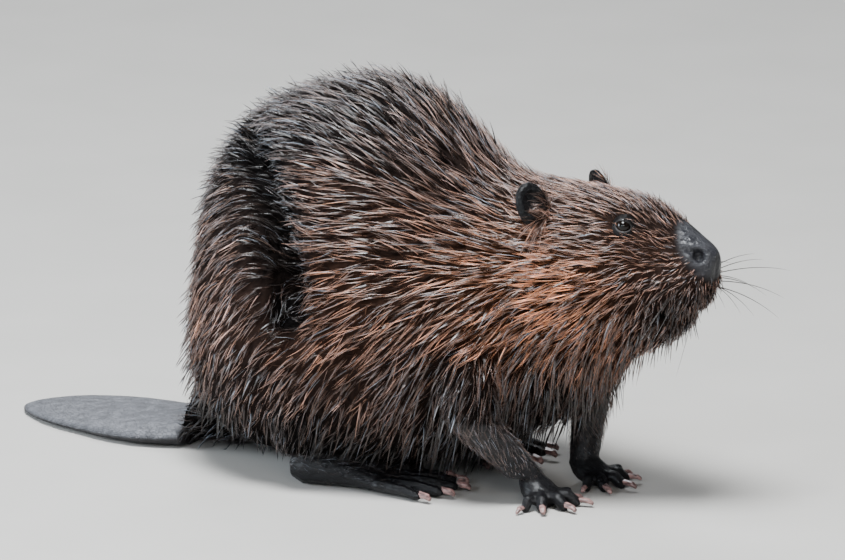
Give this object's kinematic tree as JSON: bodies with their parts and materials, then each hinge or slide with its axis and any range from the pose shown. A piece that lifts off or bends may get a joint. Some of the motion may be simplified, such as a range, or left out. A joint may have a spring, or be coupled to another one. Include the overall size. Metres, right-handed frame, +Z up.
{
  "type": "beaver",
  "caption": "Life-size standing beaver with a wet coat, arched back, webbed hind feet and a flat paddle tail laid on the floor.",
  "frame": {"origin": "middle of the bounding box, at floor level", "axes": "+X ahead of the animal, towards its nose; +Y to its left; +Z up"},
  "size_m": [0.634, 0.2626, 0.3119],
  "materials": {
    "coat": "wet dark brown fur in pointed locks",
    "face_coat": "wet reddish brown fur",
    "skin": "bare wet black skin",
    "scales": "matt dark grey scaled skin",
    "eye": "glossy black-brown eye",
    "claw": "pinkish brown horn"
  },
  "bodies": {
    "root": {"trunk": "coat", "rump": "coat", "neck": "coat", "thigh_right": "coat", "thigh_left": "coat", "tail_root": "coat", "upper_arm_right": "coat", "upper_arm_left": "coat", "shank_right": "coat", "shank_left": "coat", "head": "face_coat", "jaw": "face_coat", "nose": "skin", "ear_right": "skin", "ear_left": "skin", "forearm_right": "skin", "forearm_left": "skin", "forefoot_right": "skin", "forefoot_left": "skin", "hindfoot_right": "skin", "hindfoot_left": "skin", "tail": "scales", "eye_right": "eye", "eye_left": "eye", "claw_fore_right_1": "claw", "claw_fore_right_2": "claw", "claw_fore_right_3": "claw", "claw_fore_right_4": "claw", "claw_fore_right_5": "claw", "claw_fore_left_1": "claw", "claw_fore_left_2": "claw", "claw_fore_left_3": "claw", "claw_fore_left_4": "claw", "claw_fore_left_5": "claw", "claw_hind_right_1": "claw", "claw_hind_right_2": "claw", "claw_hind_right_3": "claw", "claw_hind_right_4": "claw", "claw_hind_right_5": "claw", "claw_hind_left_1": "claw", "claw_hind_left_2": "claw", "claw_hind_left_3": "claw", "claw_hind_left_4": "claw", "claw_hind_left_5": "claw"}
  },
  "joints": []
}
